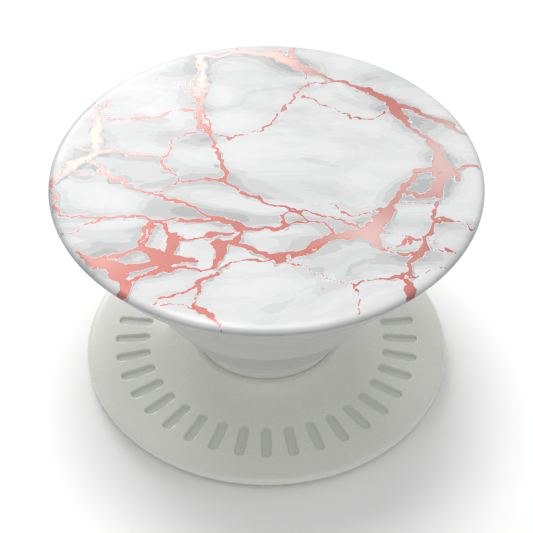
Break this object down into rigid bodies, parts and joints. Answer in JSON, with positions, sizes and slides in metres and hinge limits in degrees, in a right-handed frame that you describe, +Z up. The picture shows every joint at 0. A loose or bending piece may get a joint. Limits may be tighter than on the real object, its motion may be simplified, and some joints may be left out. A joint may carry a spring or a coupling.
{
  "type": "collapsible phone grip",
  "caption": "Round stick-on phone grip with a stepped folding neck, a horn-shaped base and a twist-off crowned top with a printed marble face.",
  "frame": {"origin": "centre of the underside, on the surface that the grip rests on", "axes": "+Z up through the neck to the top; -Y is the front, where the liner's small tab is"},
  "size_m": [0.0398, 0.0398, 0.0239],
  "materials": {
    "liner_paper": "silicone-coated glassine, satin",
    "adhesive_foam": "acrylic foam, matte",
    "base_plastic": "moulded polycarbonate, satin gloss",
    "neck_elastomer": "moulded thermoplastic elastomer, satin",
    "insert_plastic": "moulded nylon",
    "top_plastic": "moulded polycarbonate, gloss",
    "printed_film": "clear-coated printed film with metallic foil veins"
  },
  "bodies": {
    "base": {"adhesive_pad": "adhesive_foam", "base_plate": "base_plastic", "foot_retainer": "insert_plastic", "accordion_foot": "neck_elastomer", "web_1": "neck_elastomer"},
    "liner": {"release_liner": "liner_paper"},
    "lower_tier": {"tier_1": "neck_elastomer", "web_2": "neck_elastomer"},
    "middle_tier": {"tier_2": "neck_elastomer", "web_3": "neck_elastomer"},
    "upper_tier": {"tier_3": "neck_elastomer", "web_4": "neck_elastomer"},
    "head": {"accordion_head": "neck_elastomer", "head_plate": "insert_plastic"},
    "top": {"bayonet_key": "insert_plastic", "top_carrier": "top_plastic", "top_shell": "top_plastic", "printed_film": "printed_film"}
  },
  "joints": [
    {"name": "lower_stage", "type": "slide", "parent": "base", "child": "lower_tier", "axis": [0, 0, -1], "range_m": [0, 0.00385], "deforming": ["web_1"]},
    {"name": "lower_stage_follow", "type": "slide", "parent": "lower_tier", "child": "middle_tier", "axis": [0, 0, -1], "range_m": [0, 0.00505], "deforming": ["web_2"]},
    {"name": "upper_stage", "type": "slide", "parent": "middle_tier", "child": "upper_tier", "axis": [0, 0, -1], "range_m": [0, 0.0049], "deforming": ["web_3"]},
    {"name": "upper_stage_follow", "type": "slide", "parent": "upper_tier", "child": "head", "axis": [0, 0, -1], "range_m": [0, 0.00281], "deforming": ["web_4"]},
    {"name": "quarter_turn", "type": "hinge", "parent": "head", "child": "top", "pos_m": [0, 0, 0.021], "axis": [0, 0, 1], "range_deg": [0, 90]},
    {"name": "liner_peel", "type": "slide", "parent": "base", "child": "liner", "axis": [0, -1, 0], "range_m": [0, 0.04]}
  ],
  "couplings": [
    {"joint": "lower_stage_follow", "follows": "lower_stage", "ratio": 1.31},
    {"joint": "upper_stage_follow", "follows": "upper_stage", "ratio": 0.572}
  ]
}
